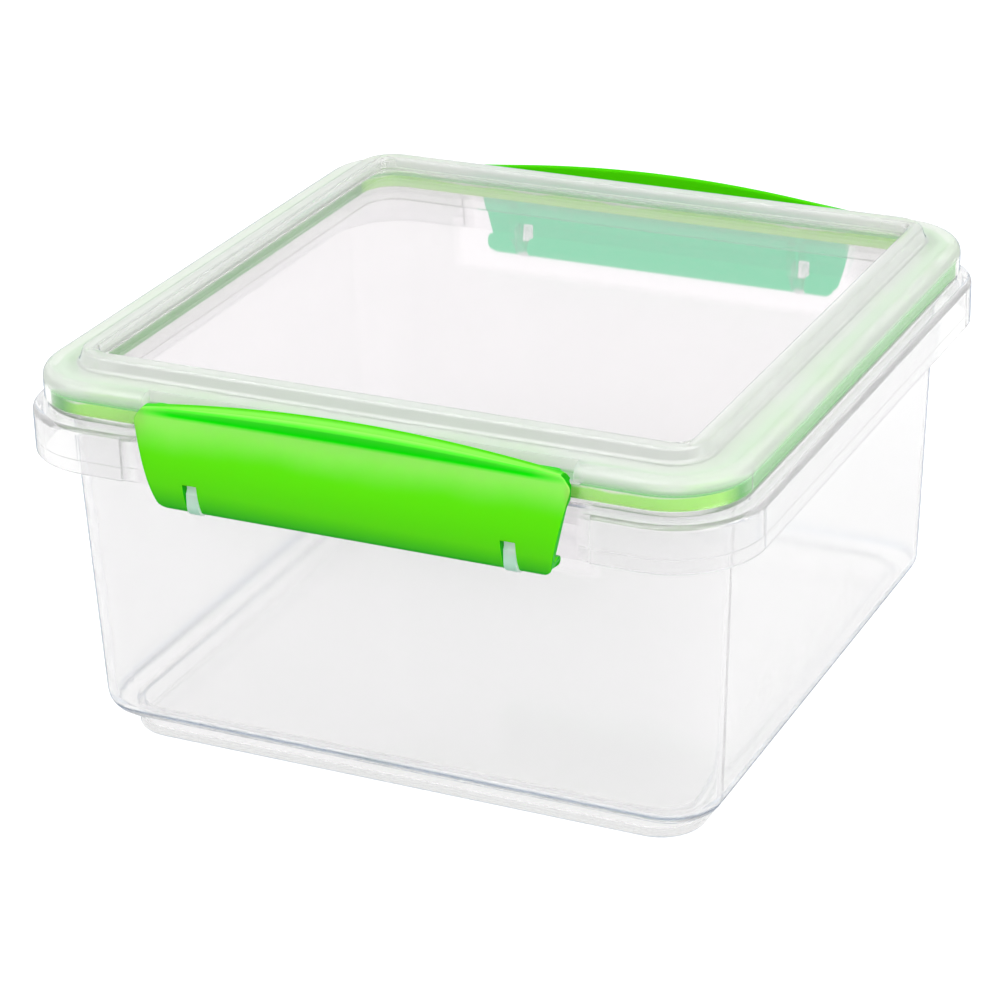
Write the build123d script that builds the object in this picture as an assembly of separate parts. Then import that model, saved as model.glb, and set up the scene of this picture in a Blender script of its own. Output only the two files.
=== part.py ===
from build123d import *
from math import cos, radians, sin
import os

os.makedirs("parts", exist_ok=True)

# Millimetres, +Z up. The box stands on z = 0 and is centred on X and Y.
# The front clip faces -Y and the rear clip faces +Y.
# An inset is measured inward from the outer faces of the base's skirt.
# Heights are stacked on the rim of the base, which the seal and the lid rest on.

# Rim of the base, and the step down to its ledge
rim_width = 160.0
rim_depth = 160.5
rim_corner = 18.7
rim_top = 78.2
rim_inset = 3.2
rim_wall = 1.5
ledge_drop = 1.8
ledge_top = rim_top - ledge_drop

# Skirt that hangs from the ledge
skirt_height = 9.9
skirt_wall = 1.8
skirt_shoulder = 1.2
skirt_foot_round = 0.3
skirt_hem = 2.7
skirt_hem_wall = 1.3
skirt_low = ledge_top - skirt_height

# Tub walls, which lean in towards the bottom
tub_wall = 1.5
wall_top_inset = 7.1
wall_lean = 2.7
wall_top_corner = 13.8
wall_low_corner = 11.4
bottom_round = 4.4
wall_low_inset = wall_top_inset + wall_lean

# Foot that the box stands on
foot_setback = 5.0
foot_corner = 9.7
foot_height = 5.3
foot_round = 0.9
foot_inset = wall_low_inset + foot_setback

# Lid flange over the rim, and the plug wall that reaches into the tub
flange_over = 0.6
flange_gap = 0.3
flange_height = 6.4
flange_round = 2.6
flange_wall = 1.3
flange_plate = 1.6
plug_gap = 1.35
plug_wall = 1.35
plug_height = 3.3
flange_inset = rim_inset - flange_over
flange_low = rim_top + flange_gap
flange_top = flange_low + flange_height
plug_inset = wall_top_inset + tub_wall + plug_gap
plug_low = flange_low - plug_height

# Raised stacking ridge and the panel inside it
ridge_setback = 0.25
ridge_lean = 1.0
ridge_height = 2.9
ridge_width = 3.35
ridge_wall = 1.2
ridge_round = 0.7
crease_round = 1.0
panel_rise = 0.3
panel_wall = 1.5
ridge_foot_inset = plug_inset + ridge_setback
ridge_inset = ridge_foot_inset + ridge_lean
ridge_top = flange_top + ridge_height
panel_top = flange_top + panel_rise

# Clip: a bowed shell with a barrel at its foot and a hook and a lip at its head.
# An out is measured outward from the skirt's face, and is below zero inside it.
clip_top_half = 47.7
clip_side_lean = 4.7
clip_corner = 2.3
clip_corner_round = 1.6
clip_stations = 6
belly_out = 1.37
belly_drop = 14.4
neck_out = -0.35
neck_drop = 1.8
neck_lean = 0.18
neck_deep = 0.3
lip_end_out = -0.45
lip_flare = 0.55
lip_end_drop = 1.55
lip_rise = 1.65
lip_bulge = 0.35
crest_out = -1.66
crest_drop = 0.55
crest_bow = 3.71
crest_back = 0.65
crest_back_drop = 0.5
shell_gap = 0.25
shell_rise = 0.8
shell_lean = 1.2
head_gap = 1.0
clip_low_half = clip_top_half - clip_side_lean
belly_height = flange_top - belly_drop
neck_height = flange_top - neck_drop
crest_top = ridge_top - crest_drop
crest_end = crest_top - crest_bow

# Landing in the lid flange that takes the hook, and the hook over it. Its ends are tucked in
# behind the head of the clip, which is narrower there than at its widest.
landing_tuck = 0.6
landing_deep = 3.5
landing_drop = 2.9
landing_wall = 1.0
hook_nose_gap = 1.6
hook_gap = 0.4
hook_wall = 1.1
hook_tip = 0.35
hook_brace = 0.8
landing_half = clip_top_half - landing_tuck
landing_inset = flange_inset + landing_deep
landing_top = flange_top - landing_drop
hook_reach = landing_inset - hook_nose_gap

# Shallow recess in the skirt behind each clip
recess_side_gap = 3.7
recess_deep = 0.8
recess_half = clip_top_half + recess_side_gap

# Seal ring in the channel of the lid, under the landings
seal_gap = 0.08
seal_landing_gap = 0.1
seal_rib = 1.6
seal_groove = 0.9
seal_body = landing_top - landing_wall - seal_landing_gap - rim_top

# Hinge of a clip: the bar in its slots turns in two lugs under the skirt
pivot_out = -2.03
pivot_drop = 2.65
barrel_radius = 2.1
barrel_lean = 25.0
bar_radius = 1.3
bar_gap = 0.05
lug_setback = 8.1
lug_thick = 2.7
lug_ring = 1.1
lug_shoulder = 2.7
lug_mouth = 2.2
lug_mouth_lean = 30.0
lug_root_drop = 0.3
lug_root_tall = 0.6
slot_gap = 0.25
slot_rise = 5.05
pivot_height = skirt_low - pivot_drop
lug_spacing = 2 * (clip_low_half - lug_setback)
slot_top = pivot_height + slot_rise
lug_root_high = slot_top - lug_root_drop
lug_root_low = lug_root_high - lug_root_tall

# How far a piece is sunk into the one that it is moulded with, and a cutter past a face
sink = 0.4

# How near an edge lies to a height or a side to count as on it, and to a corner's arc
edge_slack = 1e-4
arc_slack = 0.05


def outline(inset, corner=None):
    """Rounded rectangle this far inside the skirt, concentric with it unless a corner is given."""
    if corner is None:
        corner = rim_corner - inset
    return RectangleRounded(rim_width - 2 * inset, rim_depth - 2 * inset, corner)


def slab(inset, low, high, corner=None):
    """Upright block with that outline between two heights."""
    return extrude(Pos(0, 0, low) * outline(inset, corner), high - low)


def ring(outer, inner, low, high):
    """Band of the rim between two insets."""
    return slab(outer, low, high) - slab(inner, low, high)


def cone(low, high, low_inset, high_inset, low_corner, high_corner):
    """Block whose outline changes evenly from its bottom to its top."""
    bottom = Pos(0, 0, low) * outline(low_inset, low_corner)
    top = Pos(0, 0, high) * outline(high_inset, high_corner)
    return loft([bottom.face(), top.face()], ruled=True)


def edges_at(shape, height):
    """Level edges of a shape at one height."""
    return [e for e in shape.edges() if abs(e.bounding_box().min.Z - height) < edge_slack
            and abs(e.bounding_box().max.Z - height) < edge_slack]


def outer_edges_at(shape, height, inset):
    """Level edges at one height that follow the outline at one inset."""
    half = rim_width / 2 - inset
    deep = rim_depth / 2 - inset
    corner = Vector(half - rim_corner + inset, deep - rim_corner + inset, 0)
    found = []
    for edge in edges_at(shape, height):
        middle = edge.position_at(0.5)
        away = max(abs(middle.X) / half, abs(middle.Y) / deep)
        bend = Vector(abs(middle.X), abs(middle.Y), 0) - corner
        on_side = abs(away - 1) < edge_slack
        on_corner = bend.X > 0 and bend.Y > 0 and abs(bend.length - (rim_corner - inset)) < arc_slack
        if on_side or on_corner:
            found.append(edge)
    return found


def side_plane():
    """Section plane of the front clip: its x runs outward from the skirt, its y is up."""
    return Plane(origin=(0, -rim_depth / 2, 0), x_dir=(0, -1, 0), z_dir=(-1, 0, 0))


def side_extrude(sketch, wide, centre=0.0):
    """Extrude a section of the front side evenly about one place along X."""
    solid = extrude(side_plane() * sketch, wide / 2, both=True)
    return Pos(centre, 0, 0) * solid


def front_block(half, near, far, low, high):
    """Box at the front side, this wide each way, between two insets and two heights."""
    centre = Pos(0, (near + far - rim_depth) / 2, (low + high) / 2)
    return centre * Box(2 * half, far - near, high - low)


def both_sides(shape):
    """The shape at the front and the same one turned to the rear."""
    return [shape, Rot(0, 0, 180) * shape]


def polygon(points):
    """Flat face inside a closed row of points."""
    return make_face(Polyline(*points, close=True))


def tub():
    """Walls, floor and foot of the base, open at the top."""
    outer = cone(foot_height, rim_top, wall_low_inset, wall_top_inset, wall_low_corner, wall_top_corner)
    outer = fillet(edges_at(outer, foot_height), bottom_round)
    foot = slab(foot_inset, 0, foot_height + tub_wall, foot_corner)
    foot = fillet(edges_at(foot, 0), foot_round)
    inner = cone(foot_height + tub_wall, rim_top, wall_low_inset + tub_wall, wall_top_inset + tub_wall,
                 wall_low_corner - tub_wall, wall_top_corner - tub_wall)
    inner = fillet(edges_at(inner, foot_height + tub_wall), bottom_round - tub_wall)
    well = slab(foot_inset + tub_wall, tub_wall, foot_height + tub_wall + sink, foot_corner - tub_wall)
    well = fillet(edges_at(well, tub_wall), foot_round)
    return outer + foot, inner + well


def rim():
    """Stepped rim of the base with its hanging skirt."""
    skirt = slab(0, skirt_low, ledge_top)
    skirt = fillet(edges_at(skirt, ledge_top), skirt_shoulder)
    skirt = fillet(edges_at(skirt, skirt_low), skirt_foot_round)
    skirt = skirt - slab(skirt_wall, skirt_low, ledge_top - rim_wall)
    skirt = skirt - slab(skirt_hem_wall, skirt_low, skirt_low + skirt_hem)
    step = slab(rim_inset, ledge_top - rim_wall, rim_top)
    step = step - slab(rim_inset + rim_wall, ledge_top - rim_wall, rim_top - rim_wall)
    clear = slab(rim_inset + rim_wall, ledge_top - rim_wall, rim_top - rim_wall)
    return (skirt - clear) + step


def lug():
    """C-shaped hook under the skirt that holds the bar of the front clip."""
    wall_out = -wall_top_inset - (rim_top - lug_root_high) * (wall_low_inset - wall_top_inset) / (
        rim_top - foot_height)
    root = wall_out - sink
    outer = bar_radius + bar_gap + lug_ring
    web = polygon([
        (root, ledge_top - rim_wall + sink), (root, lug_root_low), (-outer + pivot_out, pivot_height),
        (pivot_out, pivot_height), (pivot_out + outer, pivot_height),
        (pivot_out + outer, pivot_height + lug_shoulder), (-recess_deep, lug_root_high),
        (-recess_deep, ledge_top - rim_wall + sink)])
    body = web + Pos(pivot_out, pivot_height) * Circle(outer)
    body = body - Pos(pivot_out, pivot_height) * Circle(bar_radius + bar_gap)
    mouth = Pos(pivot_out, pivot_height) * Rot(0, 0, -lug_mouth_lean) * Pos(0, -outer) * Rectangle(
        lug_mouth, 2 * outer)
    return side_extrude(body - mouth, lug_thick)


def base():
    """Base of the box in one moulding."""
    solid, hollow = tub()
    body = solid + rim()
    pocket = front_block(recess_half, -sink, recess_deep, skirt_low, ledge_top)
    hook = lug()
    for cut in both_sides(pocket):
        body = body - cut
    for centre in (-lug_spacing / 2, lug_spacing / 2):
        for piece in both_sides(Pos(centre, 0, 0) * hook):
            body = body + piece
    return body - hollow


def lid():
    """Lid with its flange, seal channel, plug wall, stacking ridge and panel."""
    flange = slab(flange_inset, flange_low, flange_top)
    flange = fillet(edges_at(flange, flange_top), flange_round)
    ridge = cone(flange_top, ridge_top, ridge_foot_inset, ridge_inset,
                 rim_corner - ridge_foot_inset, rim_corner - ridge_inset)
    body = flange + ridge
    body = fillet(outer_edges_at(body, flange_top, ridge_foot_inset), crease_round)
    body = fillet(edges_at(body, ridge_top), ridge_round)
    inner = ridge_inset + ridge_width
    body = body - slab(inner, panel_top, ridge_top)
    body = fillet(outer_edges_at(body, ridge_top, inner), ridge_round)
    body = fillet(outer_edges_at(body, panel_top, inner), ridge_round)
    body = body + slab(plug_inset, plug_low, flange_low)
    body = body - ring(flange_inset + flange_wall, plug_inset, flange_low, flange_top - flange_plate)
    body = body - slab(plug_inset + plug_wall, plug_low, panel_top - panel_wall)
    hollow = ring(ridge_inset + ridge_wall, inner - ridge_wall, panel_top - panel_wall,
                  ridge_top - ridge_wall)
    body = body - hollow
    landing = front_block(landing_half + landing_wall, flange_inset + flange_wall,
                          landing_inset + landing_wall, landing_top - landing_wall, flange_top - flange_plate)
    notch = front_block(landing_half, -sink, landing_inset, landing_top, flange_top)
    for piece in both_sides(landing):
        body = body + piece
    for cut in both_sides(notch):
        body = body - cut
    return body


def seal():
    """Soft ring in the lid's channel: a body with a groove under it and a rib above it."""
    outer = flange_inset + flange_wall + seal_gap
    inner = plug_inset - seal_gap
    middle = (outer + inner) / 2
    body = ring(outer, inner, rim_top, rim_top + seal_body)
    body = body - ring(middle - seal_rib / 2, middle + seal_rib / 2, rim_top, rim_top + seal_groove)
    rib = ring(middle - seal_rib / 2, middle + seal_rib / 2, rim_top + seal_body,
               flange_top - flange_plate - seal_gap)
    landing = front_block(landing_half + landing_wall + seal_gap, outer, inner, rim_top + seal_body, flange_top)
    for cut in both_sides(landing):
        rib = rib - cut
    return body + rib


def clip_section(place):
    """Section of the clip's shell, barrel, hook and lip at one place along X, outward and up."""
    swell = 1 - (place / clip_top_half) ** 2
    lean = radians(barrel_lean)
    foot = (pivot_out + barrel_radius * cos(lean), pivot_height - barrel_radius * sin(lean))
    belly = (belly_out, belly_height)
    neck = (neck_out - neck_deep * swell, neck_height)
    edge = (lip_end_out + lip_flare * swell, flange_top - lip_end_drop + lip_rise * swell)
    crest = (crest_out, crest_end + crest_bow * swell)
    back = (crest_out - crest_back, crest[1] - crest_back_drop * swell)
    face = Spline(foot, belly, tangents=((sin(lean), cos(lean)), (0, 1)))
    shoulder = Spline(belly, neck, tangents=((0, 1), (-neck_lean, 1)))
    scoop = Line(neck, edge)
    bulge = Vector(edge[0] + crest[0], edge[1] + crest[1]) / 2 + Vector(lip_bulge, lip_bulge) * swell
    front = Spline(edge, (bulge.X, bulge.Y), crest)
    rear = Line(crest, back)
    hook_low = landing_top + hook_gap
    hook_high = hook_low + hook_wall
    tip = hook_reach - hook_tip
    head = (back, (back[0], hook_high), (-tip, hook_high))
    nose = ThreePointArc((-tip, hook_high), (-hook_reach, (hook_low + hook_high) / 2), (-tip, hook_low))
    inner_head = head_gap - flange_inset
    inner_shell = shell_gap - recess_deep
    shell_top = ledge_top + shell_rise
    inner_foot = inner_shell - pivot_out
    join = (inner_shell, pivot_height + (barrel_radius ** 2 - inner_foot ** 2) ** 0.5)
    inside = Polyline((-tip, hook_low), (inner_head - hook_brace, hook_low), (inner_head, hook_low - hook_brace),
                      (inner_head, shell_top + shell_lean), (inner_shell, shell_top), join)
    barrel = ThreePointArc(join, (pivot_out - barrel_radius, pivot_height), foot)
    return make_face(Curve() + [face, shoulder, scoop, front, rear, Polyline(*head), nose, inside, barrel])


def clip_shell():
    """Shell, barrel, hook and lip of the clip, with a lip that is highest in the middle."""
    faces = []
    for step in range(-clip_stations, clip_stations + 1):
        place = clip_top_half * step / clip_stations
        faces.append((Pos(place, 0, 0) * (side_plane() * clip_section(place))).face())
    return loft(faces)


def clip_outline():
    """Front view of the clip: straight sides that spread upward, with rounded corners."""
    low = pivot_height - barrel_radius
    high = crest_top + sink
    turn = clip_top_half - clip_corner
    right = [(clip_low_half, low - sink), (clip_top_half, crest_end - clip_corner), (turn, crest_end + sink),
             (turn, high)]
    left = [(-across, up) for across, up in reversed(right)]
    face = polygon(right + left)
    corners = [v for v in face.vertices() if abs(v.Y - crest_end + clip_corner) < sink]
    return fillet(corners, clip_corner_round)


def front_clip():
    """Front clip in one moulding, hinged on the bar in its barrel."""
    front = extrude(Plane.XZ * clip_outline(), belly_out + hook_reach, both=True)
    body = clip_shell() & (Pos(0, -rim_depth / 2, 0) * front)
    slot = front_block(lug_thick / 2 + slot_gap, -belly_out - sink, barrel_radius - pivot_out + sink,
                       pivot_height - barrel_radius - sink, slot_top)
    for centre in (-lug_spacing / 2, lug_spacing / 2):
        body = body - Pos(centre, 0, 0) * slot
    bar = side_extrude(Pos(pivot_out, pivot_height) * Circle(bar_radius), lug_spacing + 2 * lug_thick)
    return body + bar


parts = {
    "base": base(),
    "lid": lid(),
    "seal": seal(),
    "front_clip": front_clip(),
}
parts["rear_clip"] = Rot(0, 0, 180) * parts["front_clip"]

for name, shape in parts.items():
    print(name, "solids", len(shape.solids()), "volume", round(shape.volume, 1))
    export_step(shape, "parts/%s.step" % name)
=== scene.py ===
"""Dresses a square food storage box with a lifting lid and two lime clips.

The file has the layout of an add-on and is run as a script. Lengths are in metres,
+Z is up and the front clip faces -Y. The tub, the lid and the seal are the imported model's
own, with new finishes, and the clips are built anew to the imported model's sizes.
"""

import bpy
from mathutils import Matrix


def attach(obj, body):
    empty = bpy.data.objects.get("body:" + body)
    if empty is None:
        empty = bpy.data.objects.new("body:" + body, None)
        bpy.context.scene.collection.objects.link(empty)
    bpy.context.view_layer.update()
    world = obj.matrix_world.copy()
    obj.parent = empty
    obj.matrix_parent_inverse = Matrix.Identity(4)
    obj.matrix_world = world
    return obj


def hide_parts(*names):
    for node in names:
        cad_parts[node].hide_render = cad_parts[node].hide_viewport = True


bl_info = {
    "name": "Clip-lid food box",
    "version": (1, 0, 0),
    "blender": (4, 5, 0),
    "location": "View3D > Sidebar > Food box",
    "description": "Dresses a clear food box with its lid, seal and clips",
    "category": "Object",
}

import math
import bpy
import numpy as np
from mathutils import Matrix, Vector

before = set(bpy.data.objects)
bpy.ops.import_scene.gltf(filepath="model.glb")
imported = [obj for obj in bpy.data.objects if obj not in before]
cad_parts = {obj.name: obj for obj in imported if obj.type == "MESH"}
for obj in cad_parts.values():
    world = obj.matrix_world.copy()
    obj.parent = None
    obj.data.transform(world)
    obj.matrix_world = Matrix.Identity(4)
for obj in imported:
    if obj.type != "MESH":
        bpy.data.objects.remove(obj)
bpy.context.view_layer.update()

# Range that a noise pattern mostly keeps to
NOISE_LOW = 0.3
NOISE_HIGH = 0.7
# Most of a side that a rounded corner may take
CORNER_MOST = 0.45
# Steps of the table in which the slot's top is looked up on the face
TABLE_STEPS = 400
# Rounds after which the columns at the head have settled
SETTLE_ROUNDS = 4
# Angle past which an edge is shaded sharp
SHARP_ANGLE = math.radians(40)


def length(name, description, default):
    """A size or a place of the box, in metres."""
    return bpy.props.FloatProperty(
        name=name, description=description, unit="LENGTH", default=default)


def angle(name, description, degrees):
    """An angle, given in degrees."""
    return bpy.props.FloatProperty(
        name=name, description=description, unit="ROTATION", default=math.radians(degrees))


def number(name, description, default):
    """A plain number, such as a slope or an index."""
    return bpy.props.FloatProperty(name=name, description=description, default=default)


def count(name, description, default):
    """A number of steps."""
    return bpy.props.IntProperty(name=name, description=description, min=1, default=default)


def share(name, description, default):
    """A setting from 0 to 1."""
    return bpy.props.FloatProperty(
        name=name, description=description, subtype="FACTOR", min=0, max=1, default=default)


def paint(name, description, default):
    """A colour, in linear values."""
    return bpy.props.FloatVectorProperty(
        name=name, description=description, subtype="COLOR", size=3, min=0, max=1, default=default)


def spot(name, description, default):
    """A place or a size along the axes, in metres."""
    return bpy.props.FloatVectorProperty(
        name=name, description=description, unit="LENGTH", size=len(default), default=default)


class ClipSizes(bpy.types.PropertyGroup):
    """Sizes of a clip: an out is measured outward from the skirt, and a height from the floor"""

    skirt_depth: length("Skirt depth", "From the middle of the box to the skirt's front", 0.08025)
    top_half: length("Top half width", "From the middle of a clip to its side near the head", 0.0477)
    low_half: length("Low half width", "From the middle of a clip to its side at the foot", 0.0430)
    upright_half: length("Upright half width", "How far out the columns stay upright", 0.0380)
    edge_round: length("End rounding", "Radius of the rounding at the two ends", 0.00025)
    corner_height: length("Corner height", "Where the sides turn in towards the lip", 0.08124)
    corner_slope: number("Corner slope", "How fast they turn in there, across over up", 0.85)
    corner_blend: length("Corner blend", "How softly the sides turn in", 0.0003)
    foot_tuck: length("Foot tuck", "How far the sides are drawn in at the very foot", 0.0018)
    tuck_slope: number("Tuck slope", "How fast they come out over the foot, across over up", 1.6)
    foot_lean: angle("Foot lean", "How far the face leans out where it leaves the barrel", 25)
    foot_pull: length("Foot pull", "How far the face keeps that lean", 0.0025)
    belly_out: length("Belly out", "Out of the fullest part", 0.00137)
    belly_height: length("Belly height", "Height of the fullest part", 0.0705)
    belly_low: length("Belly below", "How far the face stays upright below that", 0.0028)
    belly_high: length("Belly above", "How far the face stays upright above it", 0.0042)
    neck_out: length("Neck out", "Out of the neck under the lip, at the ends", -0.00035)
    neck_deep: length("Neck depth", "How much deeper the neck is in the middle", 0.0007)
    neck_height: length("Neck height", "Height of the neck under the lip", 0.0828)
    neck_lead: length("Neck lead", "How far the face runs straight into the neck", 0.0041)
    neck_back: length("Neck back", "How far it leans back over that length", 0.00075)
    edge_out: length("Lip edge out", "Out of the lip's lower edge, at the ends", -0.00045)
    edge_flare: length("Lip flare", "How much farther the lip stands out in the middle", 0.00055)
    edge_height: length("Lip edge height", "Height of the lip's lower edge, at the ends", 0.08335)
    edge_rise: length("Lip edge rise", "How much higher that edge is in the middle", 0.00165)
    front_out: length("Front out", "Out of the corner between the lip's front and its top", -0.00070)
    front_least: length("Front least rise", "That corner over the lip's edge, at the ends", 0.0002)
    front_rise: length("Front rise", "That corner over the lip's edge, in the middle", 0.0013)
    front_row: share("Front row", "Where the row between the two lies", 0.65)
    crest_out: length("Crest out", "Out of the top of the lip", -0.00166)
    crest_height: length("Crest height", "Height of the top of the lip, at the ends", 0.08354)
    crest_bow: length("Crest bow", "How much higher the lip is in the middle", 0.00371)
    crest_thick: length("Crest thickness", "From front to rear of the lip's top", 0.00065)
    crest_fall: length("Crest fall", "How much lower its rear is in the middle", 0.0005)
    hook_reach: length("Hook reach", "How far the hook reaches in over the lid", 0.0045)
    hook_half: length("Hook half width", "From the middle to where the hook begins to end", 0.0430)
    hook_fade: length("Hook fade", "Over how much more width it ends", 0.0015)
    hook_stub: length("Hook stub", "How far the hook reaches in beyond that", 0.0027)
    hook_low: length("Hook height", "Underside of the hook", 0.0824)
    hook_thick: length("Hook thickness", "From the hook's underside to its top", 0.0011)
    head_out: length("Head out", "Out of the inside of the head", -0.0016)
    shell_out: length("Shell out", "Out of the inside of the shell", -0.00055)
    shell_top: length("Shell step", "Where the inside steps back towards the head", 0.0772)
    shell_rise: length("Shell step rise", "Height of that step", 0.0012)
    sharp_cut: length("Sharp cut", "How far the sharpest corners are rounded off", 0.0002)
    lip_cut: length("Lip cut", "How far the lip's corners are rounded off", 0.0003)
    nose_cut: length("Nose cut", "How far the hook's nose is rounded off", 0.0005)
    throat_cut: length("Throat cut", "How far the corner under the hook is filled in", 0.0008)
    pivot_out: length("Pivot out", "Out of the hinge", -0.00203)
    pivot_height: length("Pivot height", "Height of the hinge", 0.06385)
    barrel_radius: length("Barrel radius", "Radius of the barrel round the hinge", 0.0021)
    bar_radius: length("Bar radius", "Radius of the bar that shows in the slots", 0.0013)
    bar_reach: number("Bar reach", "Length of the bar's part in a slot over its width", 1.4)
    slot_place: length("Slot place", "From the middle of a clip to the middle of a slot", 0.0349)
    slot_half: length("Slot half width", "Half the width of a slot", 0.0016)
    slot_top: length("Slot top", "Height of the top of a slot", 0.0689)
    low_rows: count("Low rows", "Steps of the face below the slot's top", 26)
    high_rows: count("High rows", "Steps of the face from there to the belly", 8)
    shoulder_rows: count("Shoulder rows", "Steps of the face from the belly to the neck", 26)
    corner_rows: count("Corner rows", "Rows of a rounded corner", 5)
    barrel_rows: count("Barrel rows", "Steps round the barrel", 36)
    bar_rows: count("Bar rows", "Steps round the bar", 32)
    middle_columns: count("Middle columns", "Columns from the middle to a slot", 42)
    slot_columns: count("Slot columns", "Columns over a slot", 5)
    end_columns: count("End columns", "Columns from a slot to the end", 14)
    round_columns: count("Round columns", "Columns of the rounded end", 6)
    # Shares of the painted shade on the clip's lip, carried by the shade layer.
    edge_shade: share("Edge shade", "Share of the neck's shade on the lip's lower edge", 0.7)
    front_shade: share("Front shade", "Share of the top's colour on the lip's front corner", 0.4)
    shade_onset: number("Shade onset", "How fast the shades set in from the two ends", 3)


class BoxColours(bpy.types.PropertyGroup):
    """Colours and haze of the mouldings, with the painted shade, light and glow on them"""

    # Painted shade: the edge tint draws a dark outline where clear plastic is seen edge on, and the
    # dark line over the tub's foot.
    edge: paint("Edge tint", "Tint of the clear plastic where it is seen edge on", (0.30, 0.42, 0.56))
    outline_shade_share: share("Edge share", "How much of that tint an outline shows", 0.6)
    foot_line_shade_share: share("Line share", "How much of it the line at the foot shows", 0.5)
    tub_tint: paint("Tub tint", "Tint of the clear plastic of the tub", (0.985, 0.979, 0.984))
    lid_tint: paint("Lid tint", "Tint of the lid's clear flange and ridge", (0.945, 0.950, 0.935))
    panel_tint: paint("Panel tint", "Tint of the lid's clear panel", (0.900, 0.872, 0.888))
    tub_milk: paint("Tub milk", "Colour of the light that the tub scatters", (0.93, 0.92, 0.935))
    lid_milk: paint("Lid milk", "Colour of the light that the lid scatters", (0.855, 0.87, 0.85))
    tub_haze: share("Tub haze", "Share of light that the tub's walls scatter", 0.215)
    skirt_haze: share("Skirt haze", "Share of light that the tub's skirt and rim scatter", 0.19)
    foot_clear: share("Foot clear", "Share of the walls' haze that the foot keeps", 0.3)
    recess_clear: share("Recess clear", "Share of the haze that is left behind a clip", 0.15)
    rim_haze: share("Rim haze", "Share of light that the lid's flange and ridge scatter", 0.5)
    panel_haze: share("Panel haze", "Share of light that the lid's panel scatters", 0.03)
    lug_haze: share("Lug haze", "Share of light that the lugs scatter more than the skirt", 0.93)
    lug_behind: share("Lug behind", "Share of that haze seen through other clear plastic", 0.15)
    # Painted shade on the clips: the edge colour darkens a clip where it is seen at a slant, away from
    # the frontal light; the neck colour is the saturated green of the neck in the lip's shade; the top
    # colour darkens the lip's top and back.
    clip_slant_shade: paint("Clip edge", "Colour of a clip where it is seen edge on", (0.002, 0.55, 0.001))
    clip_neck_shade: paint("Clip neck", "Colour of the neck in the shade of the lip", (0.004, 0.92, 0.001))
    clip_top_shade: paint("Clip top", "Colour of the top and back of a clip's lip", (0.065, 0.56, 0.001))
    # Painted glow: a clip seen through clear plastic gives off this colour, as light that doesn't
    # reach it there.
    clip_glow: paint("Clip inside", "Colour of a clip behind clear plastic", (0.001, 0.72, 0.30))
    clip: paint("Clips", "Colour of a clip up to its belly", (0.110, 0.77, 0.001))
    # Painted light: the head is paler and lighter than the lower clip, as light from above falls on
    # it.
    clip_head_light: paint("Clip head", "Colour of a clip under its lip", (0.30, 0.87, 0.12))
    seal: paint("Seal", "Colour of the seal ring", (0.44, 0.98, 0.15))
    seal_rib: paint("Seal rib", "Colour of the seal's top and its rib", (0.86, 0.93, 0.80))
    # Painted shade: the seal turns to this darker green where it is seen at a slant.
    seal_slant_shade: paint("Seal edge", "Colour of the seal ring seen edge on", (0.03, 0.42, 0.03))


class FinishPlaces(bpy.types.PropertyGroup):
    """Places where the finish changes: a height is from the floor, the rest from the middle"""

    lug_depth: length("Lug depth", "Depth beyond which only lugs stand under the skirt", 0.0755)
    lug_top: length("Lug top", "Height up to which a lug is milky", 0.0664)
    slot_rise: length("Slot rise", "How much higher it is milky where a slot shows it", 0.0028)
    slot_reach: length("Slot reach", "Half width of that part", 0.0018)
    wall_top: length("Wall top", "Height where the walls' haze ends", 0.052)
    skirt_low: length("Skirt low", "Height where the skirt's haze begins", 0.066)
    foot_top: length("Foot top", "Height where the foot's haze ends", 0.0065)
    wall_low: length("Wall low", "Height where the walls' haze begins", 0.0085)
    # The grey line over the foot is painted shade, drawn in the edge tint.
    line_height: length("Line height", "Height of the grey line over the foot", 0.0078)
    line_core: length("Line core", "Half height of the line's full part", 0.0001)
    line_half: length("Line half height", "Half height of the whole line", 0.0006)
    recess_half: length("Recess half width", "How far out the recess behind a clip is full", 0.0480)
    recess_end: length("Recess end", "How far out it ends", 0.0510)
    recess_low: length("Recess low", "Height where the recess begins", 0.0585)
    recess_high: length("Recess high", "Height where it is full", 0.0605)
    recess_near: length("Recess near", "Depth where the wall behind a clip begins", 0.0665)
    recess_far: length("Recess far", "Depth where it is full", 0.0672)
    panel_half: length("Panel half width", "How far out the lid's panel reaches", 0.0656)
    panel_soft: length("Panel soft", "How softly it ends, to each side", 0.001)
    flange_low: length("Flange low", "Height where the haze of the lid's top begins", 0.0810)
    flange_high: length("Flange high", "Height where that haze is full", 0.0826)
    # A clip turns from its own colour to the painted light of its head between these two heights.
    light_ramp_low: length("Belly level", "Height up to which a clip has one colour", 0.0745)
    light_ramp_high: length("Head level", "Height where it has the colour of its head", 0.082)
    seal_level: length("Seal level", "Height up to which the seal has one colour", 0.0804)
    rib_level: length("Rib level", "Height where it has the colour of its rib", 0.0812)


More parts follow.
